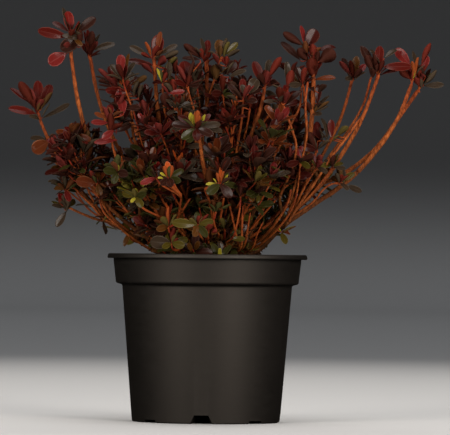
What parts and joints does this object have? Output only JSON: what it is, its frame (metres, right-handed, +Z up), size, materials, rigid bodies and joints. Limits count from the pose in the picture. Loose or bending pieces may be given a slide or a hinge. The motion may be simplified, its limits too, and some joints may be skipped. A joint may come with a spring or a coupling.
{
  "type": "potted azalea shrub",
  "caption": "Young azalea shrub in a plain black nursery pot: stems fan out from one woody base, and long bare shoots end in tufts of red and bronze leaves.",
  "frame": {"origin": "centre of the pot's flat underside, on the surface that the pot stands on", "axes": "+Z up along the pot's axis; the pictured side faces -Y, with +X to its right"},
  "size_m": [0.437, 0.332, 0.412],
  "materials": {
    "pot_plastic": "black injection-moulded pot plastic, satin, slightly dusty",
    "potting_mix": "dark peat and bark potting mix, rough and loose",
    "old_bark": "grey-brown to rust-brown bark with leaf scars, dull",
    "young_bark": "rust-orange young bark with fine hairs and leaf scars",
    "green_leaves": "dull green to bronze evergreen leaves with a grey sheen",
    "bronze_leaves": "bronze to maroon leaves, satin",
    "red_leaves": "red autumn leaves, satin, paler along the edges"
  },
  "bodies": {
    "root": {"pot": "pot_plastic", "soil": "potting_mix", "stem_base": "old_bark", "bough_front_left": "old_bark", "bough_front_right": "old_bark", "bough_back_left": "old_bark", "bough_back_right": "old_bark", "bough_middle": "old_bark", "bough_left_low": "old_bark", "bough_left_high": "old_bark", "bough_left_wing": "old_bark", "bough_left_lowest": "young_bark", "bough_right_low": "old_bark", "bough_right_high": "old_bark", "bough_right_second": "young_bark", "bough_right_third": "old_bark", "shoot_left_tall": "young_bark", "shoot_left_inner": "young_bark", "shoot_top_left": "young_bark", "shoot_top_middle": "young_bark", "shoot_top_right": "young_bark", "shoot_back_right": "young_bark", "shoot_right_tall": "young_bark", "shoot_right_inner": "young_bark", "shoot_back": "young_bark", "shoot_back_left": "young_bark", "shoot_front": "young_bark", "leaves_low_1": "green_leaves", "leaves_low_2": "green_leaves", "leaves_low_3": "green_leaves", "leaves_low_4": "green_leaves", "leaves_middle_1": "green_leaves", "leaves_middle_2": "green_leaves", "leaves_middle_3": "green_leaves", "leaves_middle_4": "green_leaves", "leaves_middle_5": "green_leaves", "leaves_upper_1": "green_leaves", "leaves_upper_2": "green_leaves", "leaves_upper_3": "green_leaves", "leaves_upper_4": "green_leaves", "leaves_top_middle": "bronze_leaves", "leaves_shoulder_left": "bronze_leaves", "leaves_shoulder_right": "bronze_leaves", "leaves_wing_left": "bronze_leaves", "tuft_left_tall": "red_leaves", "tuft_left_inner": "red_leaves", "tuft_left_outer": "red_leaves", "tuft_left_lowest": "red_leaves", "tuft_top_left": "red_leaves", "tuft_top_middle": "red_leaves", "tuft_top_right": "red_leaves", "tuft_back_right": "red_leaves", "tuft_right_tall": "red_leaves", "tuft_right_inner": "red_leaves", "tuft_right_outer": "red_leaves", "tuft_right_outermost": "red_leaves", "tuft_back": "red_leaves", "tuft_back_left": "red_leaves", "tuft_front": "red_leaves"}
  },
  "joints": []
}
